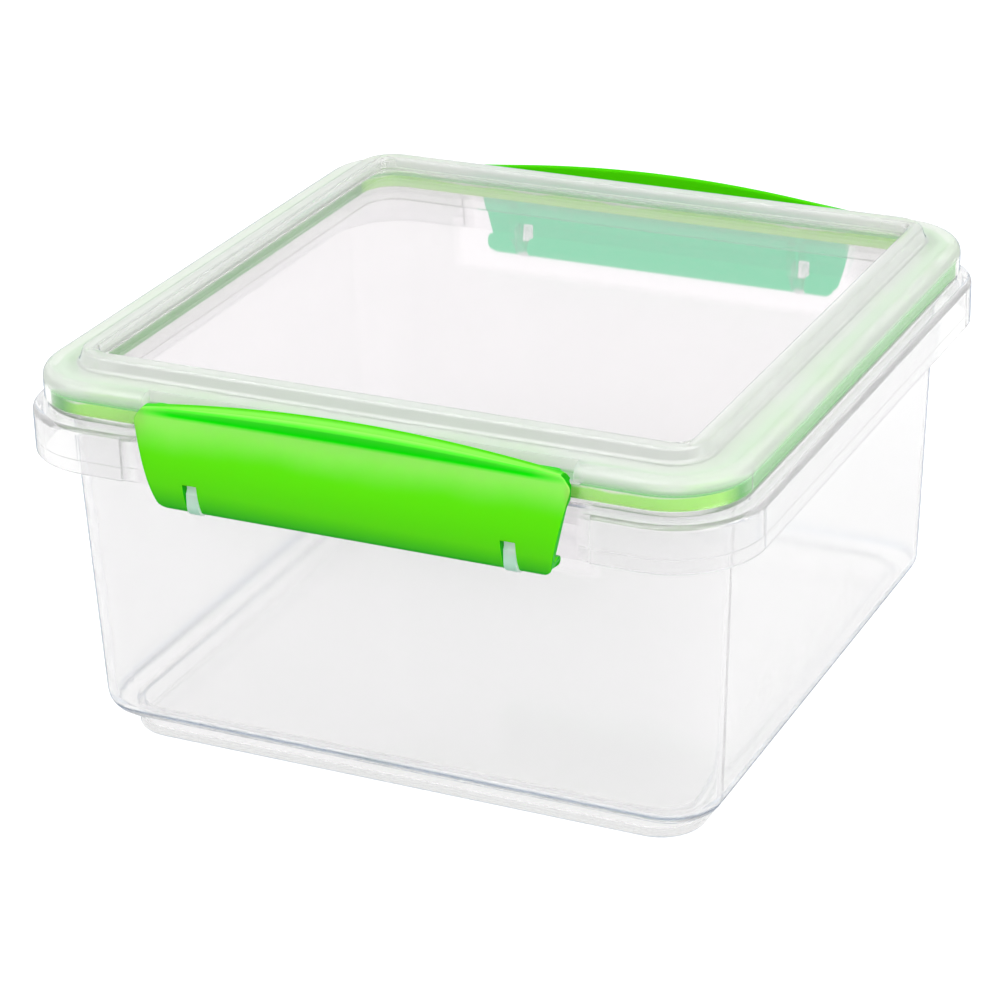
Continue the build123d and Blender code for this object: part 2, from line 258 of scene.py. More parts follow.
class PlasticFinish(bpy.types.PropertyGroup):
    """Optics and fine patterns of the plastics"""

    clear_index: number("Clear index", "Refractive index of the clear plastic", 1.49)
    tub_rough: share("Tub roughness", "Roughness of the tub", 0.09)
    tub_gloss: share("Tub gloss", "How much the tub mirrors, 0.5 as its index says", 0.5)
    lid_rough: share("Lid roughness", "Roughness of the lid", 0.03)
    lid_gloss: share("Lid gloss", "How much the lid mirrors, 0.5 as its index says", 0.3)
    mirror_power: number("Mirror power", "Power of the slant by which thin sheet mirrors", 5)
    back_share: share("Back share", "Share of the scattered light that comes back", 0.5)
    cloud_scale: number("Cloud scale", "Clouds in the clear plastic, in a metre", 22)
    cloud_detail: number("Cloud detail", "Octaves of finer clouds in them", 3)
    cloud_depth: share("Cloud depth", "How much they change the haze", 0.08)
    # Slants of the painted dark outline on clear plastic.
    edge_start: share("Edge start", "Slant at which an outline begins to show", 0.78)
    edge_full: share("Edge full", "Slant at which it shows in full", 0.90)
    light_pass: share("Light pass", "Share of the lamps' light that clear plastic lets in", 0.93)
    solid_index: number("Solid index", "Refractive index of the green plastic", 1.45)
    clip_rough: share("Clip roughness", "Roughness of a clip", 0.34)
    clip_scatter: share("Clip scatter", "Share of light that spreads inside a clip", 0.5)
    seal_rough: share("Seal roughness", "Roughness of the seal", 0.5)
    seal_scatter: share("Seal scatter", "Share of light that spreads inside the seal", 0.3)
    spread: length("Spread", "How far light spreads inside", 0.0025)
    spread_paint: paint("Spread colours", "How far each colour of light spreads", (0.35, 1.0, 0.12))
    shine: paint("Shine", "Tint of the shine on green plastic", (0.5, 1.0, 0.3))
    face_gloss: share("Face gloss", "How much green plastic mirrors", 0.25)
    side_gloss: share("Side gloss", "How much it mirrors at a slant and in shades", 0.05)
    # Slants and share of the painted shade that darkens green plastic seen at a slant.
    slant_shade_start: share("Side start", "Slant at which the edge colour begins", 0.27)
    slant_shade_full: share("Side full", "Slant at which it is full", 0.52)
    slant_shade_share: share("Side share", "How much of the edge colour shows there", 0.95)
    grain_scale: number("Grain scale", "Grains in the green plastic, in a metre", 900)
    grain_detail: number("Grain detail", "Octaves of finer grains in them", 3)
    grain_strength: share("Grain strength", "How much the grain turns the light", 0.05)
    grain_depth: length("Grain depth", "Height of the grains", 0.0002)
    flow_scale: number("Flow scale", "Flow clouds in the green plastic, in a metre", 60)
    flow_detail: number("Flow detail", "Octaves of finer clouds in them", 2)
    flow_drift: length("Flow drift", "How far they move the colours up and down", 0.0008)
    flow_rough: share("Flow roughness", "How much they change the roughness", 0.03)


class StageSettings(bpy.types.PropertyGroup):
    """Camera, floor and light"""

    azimuth: angle("Azimuth", "Turn of the camera round the box from the front", 25.71)
    elevation: angle("Elevation", "Height of the camera over the box as an angle", 24.37)
    roll: angle("Roll", "Tilt of the camera about its own view", -1.63)
    distance: length("Distance", "From the camera to the point that it turns round", 0.73282)
    target_height: length("Target height", "Height of the point that the camera turns round", 0.04)
    shift_across: length("Shift across", "How far the camera stands to the right", -0.00502)
    shift_up: length("Shift up", "How far the camera stands up its own view", -0.00239)
    near_limit: length("Near limit", "Nearest place that the camera sees", 0.01)
    focal_length: bpy.props.FloatProperty(
        name="Focal length", description="Lens of the camera in millimetres", unit="CAMERA",
        default=120.94)
    floor_half: length("Floor half width", "From the middle of the floor to its edge", 6.0)
    floor_tone: share("Floor tone", "Grey of the floor to the camera", 0.97)
    floor_lift: share("Floor lift", "Light that the camera adds to the floor to make it white", 0.18)
    floor_bounce: share("Floor bounce", "Share of light that the floor sends back up to the box", 0.35)
    world_level: number("World level", "Strength of the light from all round", 0.85)
    key_place: spot("Key place", "Place of the softbox at the left", (-0.5, -0.8, 1.3))
    key_size: spot("Key size", "Width and height of the softbox at the left", (1.2, 0.9))
    key_power: bpy.props.FloatProperty(
        name="Key power", description="Power of the softbox at the left", unit="POWER", min=0,
        default=9.0)
    fill_place: spot("Fill place", "Place of the softbox at the right", (1.3, -0.3, 0.9))
    fill_size: spot("Fill size", "Width and height of the softbox at the right", (1.2, 1.2))
    fill_power: bpy.props.FloatProperty(
        name="Fill power", description="Power of the softbox at the right", unit="POWER", min=0,
        default=13.0)


def unit(vectors):
    """Directions of vectors whose parts are along the last axis."""
    return vectors / np.linalg.norm(vectors, axis=-1, keepdims=True)


def curve(points, steps):
    """Cubic curve through its first and last control point, at each step, one curve a column."""
    t = steps[:, None, None]
    a, b, c, d = points
    return (1 - t) ** 3 * a + 3 * (1 - t) ** 2 * t * b + 3 * (1 - t) * t * t * c + t ** 3 * d


def corner(before, point, after, cut, rows):
    """A corner of each column rounded off: a quadratic curve from one side to the other.

    It starts and ends this far along its two sides, or at most a fixed share along them.
    """
    arms = []
    for other in (before, after):
        reach = np.linalg.norm(other - point, axis=-1, keepdims=True)
        arms.append(point + np.minimum(cut, CORNER_MOST * reach) * unit(other - point))
    t = np.linspace(0, 1, rows)[:, None, None]
    return (1 - t) ** 2 * arms[0] + 2 * (1 - t) * t * point + t * t * arms[1]


def clip_loop(size, across):
    """Closed section of the clip at places across it, as (rows, columns, 2) of out and height.

    The face swells from the barrel to the belly and leans back to the neck. Above the neck
    the lip flares out and rises by 1 - (place / half width) squared. Behind it the loop drops
    to the hook, which ends at both sides by 3 t squared - 2 t cubed, follows the inside of
    the shell down and goes round the barrel. It is given in two parts: from the slot's top
    on the face up and over to the slot's top on the inside, and from there round the barrel
    and back up the face. The tones of the first rows are painted shade: they are 1 in the
    neck, which lies in the lip's shade, and turn to -1 on the lip's top and back, which are
    painted darker.
    """
    swell = 1 - (across / size.top_half) ** 2
    flat = np.zeros_like(across)

    def at(out, height):
        return np.stack([out + flat, height + flat], axis=-1)

    def rounded(before, point, after, cut):
        return corner(before, point, after, cut, size.corner_rows)

    lean, radius = size.foot_lean, size.barrel_radius
    foot = at(size.pivot_out + radius * math.cos(lean), size.pivot_height - radius * math.sin(lean))
    pull = at(size.foot_pull * math.sin(lean), size.foot_pull * math.cos(lean))
    belly = at(size.belly_out, size.belly_height)
    face = (foot, foot + pull, belly - at(0, size.belly_low), belly)
    tries = np.linspace(0, 1, TABLE_STEPS)
    split = np.interp(size.slot_top, curve(face, tries)[:, 0, 1], tries)
    face_low = curve(face, np.linspace(0, split, size.low_rows, endpoint=False))
    face_high = curve(face, np.linspace(split, 1, size.high_rows, endpoint=False))

    neck = at(size.neck_out - size.neck_deep * swell, size.neck_height)
    lead = (belly, belly + at(0, size.belly_high), neck + at(size.neck_back, -size.neck_lead), neck)
    shoulder = curve(lead, np.linspace(0, 1, size.shoulder_rows, endpoint=False)[:-1])
    edge = at(size.edge_out + size.edge_flare * swell, size.edge_height + size.edge_rise * swell)
    crest = at(size.crest_out, size.crest_height + size.crest_bow * swell)
    rise = size.front_least + (size.front_rise - size.front_least) * swell
    front = at(size.front_out, edge[:, 1] + rise)
    between = edge + size.front_row * (front - edge)
    back = crest - at(size.crest_thick, size.crest_fall * swell)

    hook_high = size.hook_low + size.hook_thick
    fade = np.clip((np.abs(across) - size.hook_half) / size.hook_fade, 0, 1)
    reach = size.hook_reach - fade * fade * (3 - 2 * fade) * (size.hook_reach - size.hook_stub)
    heel = at(size.crest_out - size.crest_thick, hook_high)
    nose_high = at(-reach, hook_high)
    nose_low = at(-reach, size.hook_low)
    throat = at(size.head_out, size.hook_low)
    step_high = at(size.head_out, size.shell_top + size.shell_rise)
    step_low = at(size.shell_out, size.shell_top)
    inner_foot = size.shell_out - size.pivot_out
    join = at(size.shell_out, size.pivot_height + math.sqrt(radius ** 2 - inner_foot ** 2))
    turn = np.linspace(math.acos(inner_foot / radius), 2 * math.pi - lean, size.barrel_rows,
                       endpoint=False)[:, None] + flat
    barrel = np.stack([size.pivot_out + radius * np.cos(turn),
                       size.pivot_height + radius * np.sin(turn)], axis=-1)

    sharp, soft, nose = size.sharp_cut, size.lip_cut, size.nose_cut
    shaded = [(face_high, 0),
              (shoulder, 0),
              (rounded(shoulder[-1], neck, edge, sharp), 1),
              (rounded(neck, edge, front, soft), size.edge_shade),
              (between[None], 0),
              (rounded(edge, front, crest, soft), -size.front_shade),
              (rounded(front, crest, back, soft), -1),
              (rounded(crest, back, heel, soft), -1),
              (rounded(back, heel, nose_high, sharp), -1)]
    plain = [rounded(heel, nose_high, nose_low, nose),
             rounded(nose_high, nose_low, throat, nose),
             rounded(nose_low, throat, step_high, size.throat_cut),
             rounded(throat, step_high, step_low, soft),
             rounded(step_high, step_low, join, soft),
             at(size.shell_out, size.slot_top)[None]]
    tones = np.concatenate([np.full(len(part), tone) for part, tone in shaded])
    upper = np.concatenate([part for part, tone in shaded] + plain)
    return upper, np.concatenate([barrel, face_low]), tones


def clip_side(size, height):
    """Half width at a height: the least of three lines, for foot, side and top, blended.

    The blend is -soft * log(the sum of exp(-line / soft)), where soft is the corner's blend.
    """
    foot = size.pivot_height - size.barrel_radius
    spread = (size.top_half - size.low_half) / (size.corner_height - foot)
    upward = size.low_half + spread * (height - foot)
    inward = size.top_half - size.corner_slope * (height - size.corner_height)
    tucked = size.low_half - size.foot_tuck + size.tuck_slope * (height - foot)
    soft = size.corner_blend
    return -soft * np.logaddexp(np.logaddexp(-upward / soft, -inward / soft), -tucked / soft)


def clip_columns(size):
    """Places of the columns, how far the rounding draws each in, and which lie in a slot."""
    stops = (0, size.slot_place - size.slot_half, size.slot_place + size.slot_half,
             size.top_half - size.edge_round)
    columns = (size.middle_columns, size.slot_columns, size.end_columns)
    parts = [np.linspace(low, high, number_of, endpoint=False)
             for low, high, number_of in zip(stops, stops[1:], columns)]
    turn = np.linspace(0, math.pi / 2, size.round_columns)
    half = np.concatenate(parts + [size.top_half - size.edge_round * (1 - np.sin(turn))])
    drawn = np.concatenate([np.zeros(sum(map(len, parts))), size.edge_round * (1 - np.cos(turn))])
    places = np.concatenate([-half[:0:-1], half])
    slot = np.abs(np.abs((places[1:] + places[:-1]) / 2) - size.slot_place) < size.slot_half
    return places, np.concatenate([drawn[:0:-1], drawn]), slot


def sheared(size, places, height):
    """Places moved so that the outermost column follows the clip's side at this height."""
    leaning = size.top_half - size.upright_half
    reach = np.clip((np.abs(places) - size.upright_half) / leaning, 0, None)
    return places + np.sign(places) * reach * (clip_side(size, height) - size.top_half)


def clip_surface(size):
    """Points and faces of the front clip, as its closed section carried from end to end.

    A point is (place across, section at that place). Past the upright part the columns shear
    to follow the side. The last ones draw into the plastic along the section's normal by
    radius * (1 - cos(turn)) while they advance by radius * sin(turn), which rounds the ends.
    """
    places, drawn, slot = clip_columns(size)
    head = places
    for _ in range(SETTLE_ROUNDS):
        swell = 1 - (head / size.top_half) ** 2
        head = sheared(size, places, size.crest_height + size.crest_bow * swell)
    upper, lower, tones = clip_loop(size, head)
    section = np.concatenate([upper, lower])
    across = sheared(size, places, section[..., 1])
    ahead = np.roll(section, -1, axis=0) - np.roll(section, 1, axis=0)
    normal = unit(np.stack([ahead[..., 1], -ahead[..., 0]], axis=-1))
    section = section - normal * drawn[None, :, None]
    points = np.stack([across, -size.skirt_depth - section[..., 0], section[..., 1]], axis=-1)

    rows, columns = across.shape
    index = np.arange(rows * columns).reshape(rows, columns)
    below = np.roll(index, -1, axis=0)
    quads = np.stack([index[:, :-1], index[:, 1:], below[:, 1:], below[:, :-1]], axis=-1)
    last = len(upper) - 1
    solid = np.concatenate([quads[:last].reshape(-1, 4), quads[last:][:, ~slot].reshape(-1, 4)])
    front, rear = index[0], index[last]
    ceiling = np.stack([front[:-1], rear[:-1], rear[1:], front[1:]], axis=-1)[slot]
    faces = solid.tolist() + ceiling.tolist() + [index[:, 0].tolist(), index[::-1, -1].tolist()]
    wall = np.append(index[last:], index[:1], axis=0)
    starts = np.flatnonzero(slot & ~np.roll(slot, 1))
    ends = np.flatnonzero(slot & ~np.roll(slot, -1)) + 1
    faces += wall[::-1, starts].T.tolist() + wall[:, ends].T.tolist()
    # The shade layer is painted shade, fading in from the two ends of the clip.
    shade = np.zeros((rows, columns))
    shade[:len(tones)] = tones[:, None] * np.clip(swell * size.shade_onset, 0, 1)
    return points.reshape(-1, 3), faces, shade.ravel()


def bar_surface(size, place):
    """Points and faces of the bar across one slot: a circle about the hinge, carried along X."""
    turn = np.linspace(0, 2 * math.pi, size.bar_rows, endpoint=False)
    ends = place + size.bar_reach * size.slot_half * np.array([-1, 1])
    across = np.repeat(ends, len(turn))
    out = size.pivot_out + size.bar_radius * np.cos(np.tile(turn, 2))
    up = size.pivot_height + size.bar_radius * np.sin(np.tile(turn, 2))
    near = np.arange(len(turn))
    far = near + len(turn)
    skin = np.stack([near, far, np.roll(far, -1), np.roll(near, -1)], axis=-1)
    faces = skin.tolist() + [near.tolist(), far[::-1].tolist()]
    return np.stack([across, -size.skirt_depth - out, up], axis=-1), faces


def add_piece(name, points, faces, shade, material, body):
    """A mesh object at the origin, smooth but for its sharp edges, that rides on a body."""
    mesh = bpy.data.meshes.new(name)
    mesh.from_pydata(points.tolist(), [], faces)
    # The shade layer carries the painted shade of the clips' lip and bars.
    layer = mesh.attributes.new("shade", "FLOAT", "POINT")
    layer.data.foreach_set("value", shade)
    mesh.shade_smooth()
    mesh.set_sharp_from_angle(angle=SHARP_ANGLE)
    mesh.materials.append(material)
    piece = bpy.data.objects.new(name, mesh)
    bpy.context.scene.collection.objects.link(piece)
    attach(piece, body)
    return piece


def new_material(name):
    """An empty node material, with its node tree."""
    material = bpy.data.materials.new(name)
    material.use_nodes = True
    material.node_tree.nodes.clear()
    return material, material.node_tree


def add_node(tree, kind, settings=None, **sockets):
    """One node with its settings and its socket values, which may be other nodes' outputs."""
    node = tree.nodes.new(kind)
    for key, value in (settings or {}).items():
        setattr(node, key, value)
    for key, value in sockets.items():
        plug(tree, node.inputs[key.replace("_", " ")], value)
    return node


def plug(tree, socket, value):
    """Links an output to a socket, or sets the socket's own value."""
    if isinstance(value, bpy.types.NodeSocket):
        tree.links.new(value, socket)
    else:
        socket.default_value = value


def calculate(tree, operation, *values):
    """Output of a Math node with these values."""
    node = add_node(tree, "ShaderNodeMath", {"operation": operation})
    for socket, value in zip(node.inputs, values):
        plug(tree, socket, value)
    return node.outputs[0]


def blend(tree, factor, first, second):
    """Output of a mix of two shaders."""
    node = add_node(tree, "ShaderNodeMixShader", Fac=factor)
    tree.links.new(first, node.inputs[1])
    tree.links.new(second, node.inputs[2])
    return node.outputs[0]


def mix_colours(tree, factor, first, second):
    """Output of a mix of two colours."""
    node = add_node(tree, "ShaderNodeMix", {"data_type": "RGBA"})
    plug(tree, node.inputs["Factor"], factor)
    colours = [socket for socket in node.inputs if socket.type == "RGBA"]
    plug(tree, colours[0], first)
    plug(tree, colours[1], second)
    return [socket for socket in node.outputs if socket.type == "RGBA"][0]


def remap(tree, value, low, high, to_low, to_high, kind="LINEAR"):
    """Output of a Map Range node."""
    node = add_node(tree, "ShaderNodeMapRange", {"interpolation_type": kind}, Value=value,
                    From_Min=low, From_Max=high, To_Min=to_low, To_Max=to_high)
    return node.outputs[0]


def noise(tree, place, scale, detail):
    """Output of a noise pattern."""
    node = add_node(tree, "ShaderNodeTexNoise", Vector=place, Scale=scale, Detail=detail)
    return node.outputs["Fac"]


def swing(tree, pattern, middle, reach):
    """A value that a noise pattern moves this far up and down."""
    return remap(tree, pattern, NOISE_LOW, NOISE_HIGH, middle - reach, middle + reach)


def slant_of(tree):
    """0 where a surface faces the eye, and 1 where it is seen edge on."""
    return add_node(tree, "ShaderNodeLayerWeight").outputs["Facing"]


def on_rays(tree, *kinds):
    """1 on rays of these kinds, and 0 on others."""
    path = add_node(tree, "ShaderNodeLightPath")
    found = path.outputs[kinds[0]]
    for kind in kinds[1:]:
        found = calculate(tree, "MAXIMUM", found, path.outputs[kind])
    return found


def finish(tree, shader):
    """Sends a shader to the material's output."""
    out = add_node(tree, "ShaderNodeOutputMaterial")
    tree.links.new(shader, out.inputs["Surface"])


def clear_material(name, scene, finish_at, milk, roughness, gloss):
    """Clear plastic: glass with some scatter, cloudy in places, which lets light in.

    finish_at gives its haze and tint at a place and, for the tub, how far the place lies on
    the painted dark line over its foot and on thin sheet. Thin sheet doesn't bend what is
    seen through it, and mirrors by a power of its slant. Where the plastic is seen edge on, it
    takes the edge tint, a painted dark outline. Light of the lamps, and light that was
    scattered before, passes straight through.
    """
    colours, plastic = scene.food_box_colours, scene.food_box_plastic
    material, tree = new_material(name)
    place = add_node(tree, "ShaderNodeTexCoord").outputs["Object"]
    haze, clear, line, sheet = finish_at(tree, place, scene)
    glass = add_node(tree, "ShaderNodeBsdfPrincipled", Roughness=roughness, IOR=plastic.clear_index,
                     Transmission_Weight=1.0, Specular_IOR_Level=gloss, Base_Color=clear)
    body = glass.outputs[0]
    slant = slant_of(tree)
    if sheet:
        shine = add_node(tree, "ShaderNodeBsdfGlossy", Roughness=roughness)
        straight = add_node(tree, "ShaderNodeBsdfTransparent", Color=clear)
        mirror = calculate(tree, "POWER", slant, plastic.mirror_power)
        flat = blend(tree, mirror, straight.outputs[0], shine.outputs[0])
        body = blend(tree, sheet, body, flat)
    through = add_node(tree, "ShaderNodeBsdfTranslucent", Color=(*milk, 1))
    white = add_node(tree, "ShaderNodeBsdfDiffuse", Color=(*milk, 1))
    scatter = blend(tree, plastic.back_share, through.outputs[0], white.outputs[0])
    clouds = noise(tree, place, plastic.cloud_scale, plastic.cloud_detail)
    cloudy = calculate(tree, "MULTIPLY", swing(tree, clouds, 1, plastic.cloud_depth), haze)
    body = blend(tree, cloudy, body, scatter)
    # Painted shade: a dark bluish outline where the plastic is seen edge on, and the dark line over
    # the foot.
    drawn = remap(tree, slant, plastic.edge_start, plastic.edge_full, 0, colours.outline_shade_share)
    if line:
        drawn = calculate(tree, "MAXIMUM", drawn, line)
    outline = add_node(tree, "ShaderNodeBsdfTransparent", Color=(*colours.edge, 1))
    body = blend(tree, drawn, body, outline.outputs[0])
    level = plastic.light_pass
    open_way = add_node(tree, "ShaderNodeBsdfTransparent", Color=(level, level, level, 1))
    lamps = on_rays(tree, "Is Shadow Ray", "Is Diffuse Ray")
    finish(tree, blend(tree, lamps, body, open_way.outputs[0]))
    return material


def tub_finish(tree, place, scene):
    """Haze, tint, painted dark line and thin sheet of the tub.

    Haze is fullest on the lugs, and slight on the foot and on the thin sheet behind the
    clips. A lug seen through other clear plastic keeps little of it, because too little light
    reaches it there to make it look milky.
    """
    colours, places = scene.food_box_colours, scene.food_box_places
    axes = add_node(tree, "ShaderNodeSeparateXYZ", Vector=place)
    height = axes.outputs["Z"]
    depth = calculate(tree, "ABSOLUTE", axes.outputs["Y"])
    across = calculate(tree, "ABSOLUTE", axes.outputs["X"])
    past = calculate(tree, "GREATER_THAN", depth, places.lug_depth)
    slot = scene.food_box_clip.slot_place
    in_slot = calculate(tree, "COMPARE", across, slot, places.slot_reach)
    top = calculate(tree, "MULTIPLY_ADD", in_slot, places.slot_rise, places.lug_top)
    lug = calculate(tree, "MULTIPLY", past, calculate(tree, "LESS_THAN", height, top))
    behind = on_rays(tree, "Is Transmission Ray")
    lug = calculate(tree, "MULTIPLY", lug, remap(tree, behind, 0, 1, 1, colours.lug_behind))
    wall = remap(tree, height, places.wall_top, places.skirt_low, colours.tub_haze, colours.skirt_haze)
    low = remap(tree, height, places.foot_top, places.wall_low, colours.foot_clear, 1)
    inside = remap(tree, across, places.recess_half, places.recess_end, 1, 0)
    outer = remap(tree, depth, places.recess_near, places.recess_far, 0, 1)
    raised = remap(tree, height, places.recess_low, places.recess_high, 0, 1)
    thin = calculate(tree, "MULTIPLY", calculate(tree, "MULTIPLY", inside, outer), raised)
    spared = calculate(tree, "MULTIPLY", wall, remap(tree, thin, 0, 1, 1, colours.recess_clear))
    spared = calculate(tree, "MULTIPLY", spared, low)
    haze = calculate(tree, "MULTIPLY_ADD", lug, colours.lug_haze, spared)
    sheet = calculate(tree, "MULTIPLY", thin, calculate(tree, "SUBTRACT", 1, lug))
    # The dark line over the foot is painted shade.
    off = calculate(tree, "ABSOLUTE", calculate(tree, "SUBTRACT", height, places.line_height))
    line = remap(tree, off, places.line_core, places.line_half, colours.foot_line_shade_share, 0)
    return haze, (*colours.tub_tint, 1), line, sheet


def lid_finish(tree, place, scene):
    """Haze and tint of the lid, which has no line and no thin sheet.

    Haze is full on top of the flange and the ridge, and the panel has a tint of its own.
    """
    colours, places = scene.food_box_colours, scene.food_box_places
    axes = add_node(tree, "ShaderNodeSeparateXYZ", Vector=place)
    far = calculate(tree, "MAXIMUM", calculate(tree, "ABSOLUTE", axes.outputs["X"]),
                    calculate(tree, "ABSOLUTE", axes.outputs["Y"]))
    half, soft = places.panel_half, places.panel_soft
    outer = remap(tree, far, half - soft, half + soft, 0, 1)
    top = remap(tree, axes.outputs["Z"], places.flange_low, places.flange_high, 0, 1)
    full = calculate(tree, "MULTIPLY", outer, top)
    haze = remap(tree, full, 0, 1, colours.panel_haze, colours.rim_haze)
    tint = mix_colours(tree, outer, (*colours.panel_tint, 1), (*colours.lid_tint, 1))
    return haze, tint, None, None


def plastic_material(name, plastic, levels, tones, edge, roughness, scatter, lip=None):
    """Opaque moulded plastic with a fine grain and faint flow clouds.

    It goes from the first tone to the second between two levels of height; on the clips the
    lighter upper tone is painted light from above. Where it is seen at a slant it turns to the
    edge colour, which is painted shade. The lip holds three more colours: two of painted shade
    for where the piece's shade layer is 1 and -1, and a painted glow for where it is seen
    through the clear plastic.
    """
    material, tree = new_material(name)
    place = add_node(tree, "ShaderNodeTexCoord").outputs["Object"]
    grain = noise(tree, place, plastic.grain_scale, plastic.grain_detail)
    bump = add_node(tree, "ShaderNodeBump", Strength=plastic.grain_strength,
                    Distance=plastic.grain_depth, Height=grain)
    clouds = noise(tree, place, plastic.flow_scale, plastic.flow_detail)
    axes = add_node(tree, "ShaderNodeSeparateXYZ", Vector=place)
    height = calculate(tree, "ADD", axes.outputs["Z"], swing(tree, clouds, 0, plastic.flow_drift))
    # On the clips the upper tone is painted light from above.
    raised = remap(tree, height, *levels, 0, 1, "SMOOTHSTEP")
    colour = mix_colours(tree, raised, (*tones[0], 1), (*tones[1], 1))
    # Painted shade: darker where the surface is seen at a slant, away from the frontal light.
    slant_shade = remap(tree, slant_of(tree), plastic.slant_shade_start, plastic.slant_shade_full, 0, plastic.slant_shade_share)
    colour = mix_colours(tree, slant_shade, colour, (*edge, 1))
    shade = add_node(tree, "ShaderNodeAttribute", {"attribute_name": "shade"}).outputs["Fac"]
    # Painted shade of the lip's neck and of its top and back.
    if lip:
        colour = mix_colours(tree, shade, colour, (*lip[0], 1))
        colour = mix_colours(tree, calculate(tree, "MULTIPLY", shade, -1), colour, (*lip[1], 1))
    dull = calculate(tree, "MAXIMUM", slant_shade, calculate(tree, "ABSOLUTE", shade))
    skin = add_node(tree, "ShaderNodeBsdfPrincipled", Base_Color=colour, IOR=plastic.solid_index,
                    Specular_Tint=(*plastic.shine, 1),
                    Roughness=swing(tree, clouds, roughness, plastic.flow_rough),
                    Subsurface_Weight=scatter, Subsurface_Scale=plastic.spread,
                    Subsurface_Radius=plastic.spread_paint,
                    Specular_IOR_Level=remap(tree, dull, 0, 1, plastic.face_gloss, plastic.side_gloss),
                    Normal=bump.outputs["Normal"])
    surface = skin.outputs[0]
    if lip:
        # Painted glow where a clip is seen through clear plastic.
        glow = add_node(tree, "ShaderNodeEmission", Color=(*lip[2], 1))
        surface = blend(tree, on_rays(tree, "Is Transmission Ray"), surface, glow.outputs[0])
    finish(tree, surface)
    return material


def dress(node, material):
    """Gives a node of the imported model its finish."""
    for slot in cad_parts[node].material_slots:
        slot.material = material


class DressTub(bpy.types.Operator):
    """Give the tub its clear finish"""

    bl_idname = "food_box.tub"
    bl_label = "Tub"

    def execute(self, context):
        scene = context.scene
        milk, plastic = scene.food_box_colours.tub_milk, scene.food_box_plastic
        dress("base", clear_material("clear_tub", scene, tub_finish, milk, plastic.tub_rough,
                                     plastic.tub_gloss))
        return {"FINISHED"}


class DressLid(bpy.types.Operator):
    """Give the lid its clear finish and the ring in it the soft one"""

    bl_idname = "food_box.lid"
    bl_label = "Lid and seal"

    def execute(self, context):
        scene = context.scene
        colours, places = scene.food_box_colours, scene.food_box_places
        plastic = scene.food_box_plastic
        dress("lid", clear_material("clear_lid", scene, lid_finish, colours.lid_milk,
                                    plastic.lid_rough, plastic.lid_gloss))
        levels = (places.seal_level, places.rib_level)
        tones = (colours.seal, colours.seal_rib)
        dress("seal", plastic_material("soft_seal", plastic, levels, tones, colours.seal_slant_shade,
                                       plastic.seal_rough, plastic.seal_scatter))
        return {"FINISHED"}


class BuildClips(bpy.types.Operator):
    """Build the two clips with their hooks, lips and hinge bars"""

    bl_idname = "food_box.clips"
    bl_label = "Clips"

    def execute(self, context):
        scene = context.scene
        size, colours, places = scene.food_box_clip, scene.food_box_colours, scene.food_box_places
        plastic = scene.food_box_plastic
        # The head's tone is painted light; the lip's colours are painted shade and a painted glow.
        levels = (places.light_ramp_low, places.light_ramp_high)
        tones = (colours.clip, colours.clip_head_light)
        lip = (colours.clip_neck_shade, colours.clip_top_shade, colours.clip_glow)
        lime = plastic_material("lime_clip", plastic, levels, tones, colours.clip_slant_shade,
                                plastic.clip_rough, plastic.clip_scatter, lip)
        points, faces, shade = clip_surface(size)
        for place in (-size.slot_place, size.slot_place):
            bar_points, bar_faces = bar_surface(size, place)
            faces += [[len(points) + index for index in face] for face in bar_faces]
            points = np.concatenate([points, bar_points])
            # The bars take the painted shade of the lip's top.
            shade = np.concatenate([shade, -np.ones(len(bar_points))])
        turned = points * np.array([-1, -1, 1])
        for node, shape in (("front_clip", points), ("rear_clip", turned)):
            piece = add_piece(node + "_moulding", shape, faces, shade, lime, node)
            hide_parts(node)
        return {"FINISHED"}


class BuildStage(bpy.types.Operator):
    """Set the floor, the soft light and the camera"""

    bl_idname = "food_box.stage"
    bl_label = "Stage"

    def execute(self, context):
        scene = context.scene
        stage = scene.food_box_stage
        build_floor(stage)
        scene.world = studio_world(stage)
        add_softbox(stage, "key_softbox", stage.key_place, stage.key_size, stage.key_power)
        add_softbox(stage, "fill_softbox", stage.fill_place, stage.fill_size, stage.fill_power)
        scene.camera = add_camera(stage)
        scene.view_settings.view_transform = "Standard"
        return {"FINISHED"}


def build_floor(stage):
    """Plain floor: white and a little lifted to the camera, and dim in the light it sends back.

    It is white without the lift where it is seen mirrored or through the clear plastic.
    """
    half = stage.floor_half
    corners = [(-half, -half, 0), (half, -half, 0), (half, half, 0), (-half, half, 0)]
    mesh = bpy.data.meshes.new("floor")
    mesh.from_pydata(corners, [], [(0, 1, 2, 3)])
    floor = bpy.data.objects.new("floor", mesh)
    bpy.context.scene.collection.objects.link(floor)
    material, tree = new_material("pale_floor")
    tone, level = stage.floor_tone, stage.floor_bounce
    white = add_node(tree, "ShaderNodeBsdfDiffuse", Color=(tone, tone, tone, 1))
    glow = add_node(tree, "ShaderNodeEmission", Strength=stage.floor_lift)
    lit = add_node(tree, "ShaderNodeAddShader")
    tree.links.new(white.outputs[0], lit.inputs[0])
    tree.links.new(glow.outputs[0], lit.inputs[1])
    dim = add_node(tree, "ShaderNodeBsdfDiffuse", Color=(level, level, level, 1))
    shown = on_rays(tree, "Is Glossy Ray", "Is Transmission Ray")
    below = blend(tree, shown, dim.outputs[0], white.outputs[0])
    finish(tree, blend(tree, on_rays(tree, "Is Camera Ray"), below, lit.outputs[0]))
    mesh.materials.append(material)


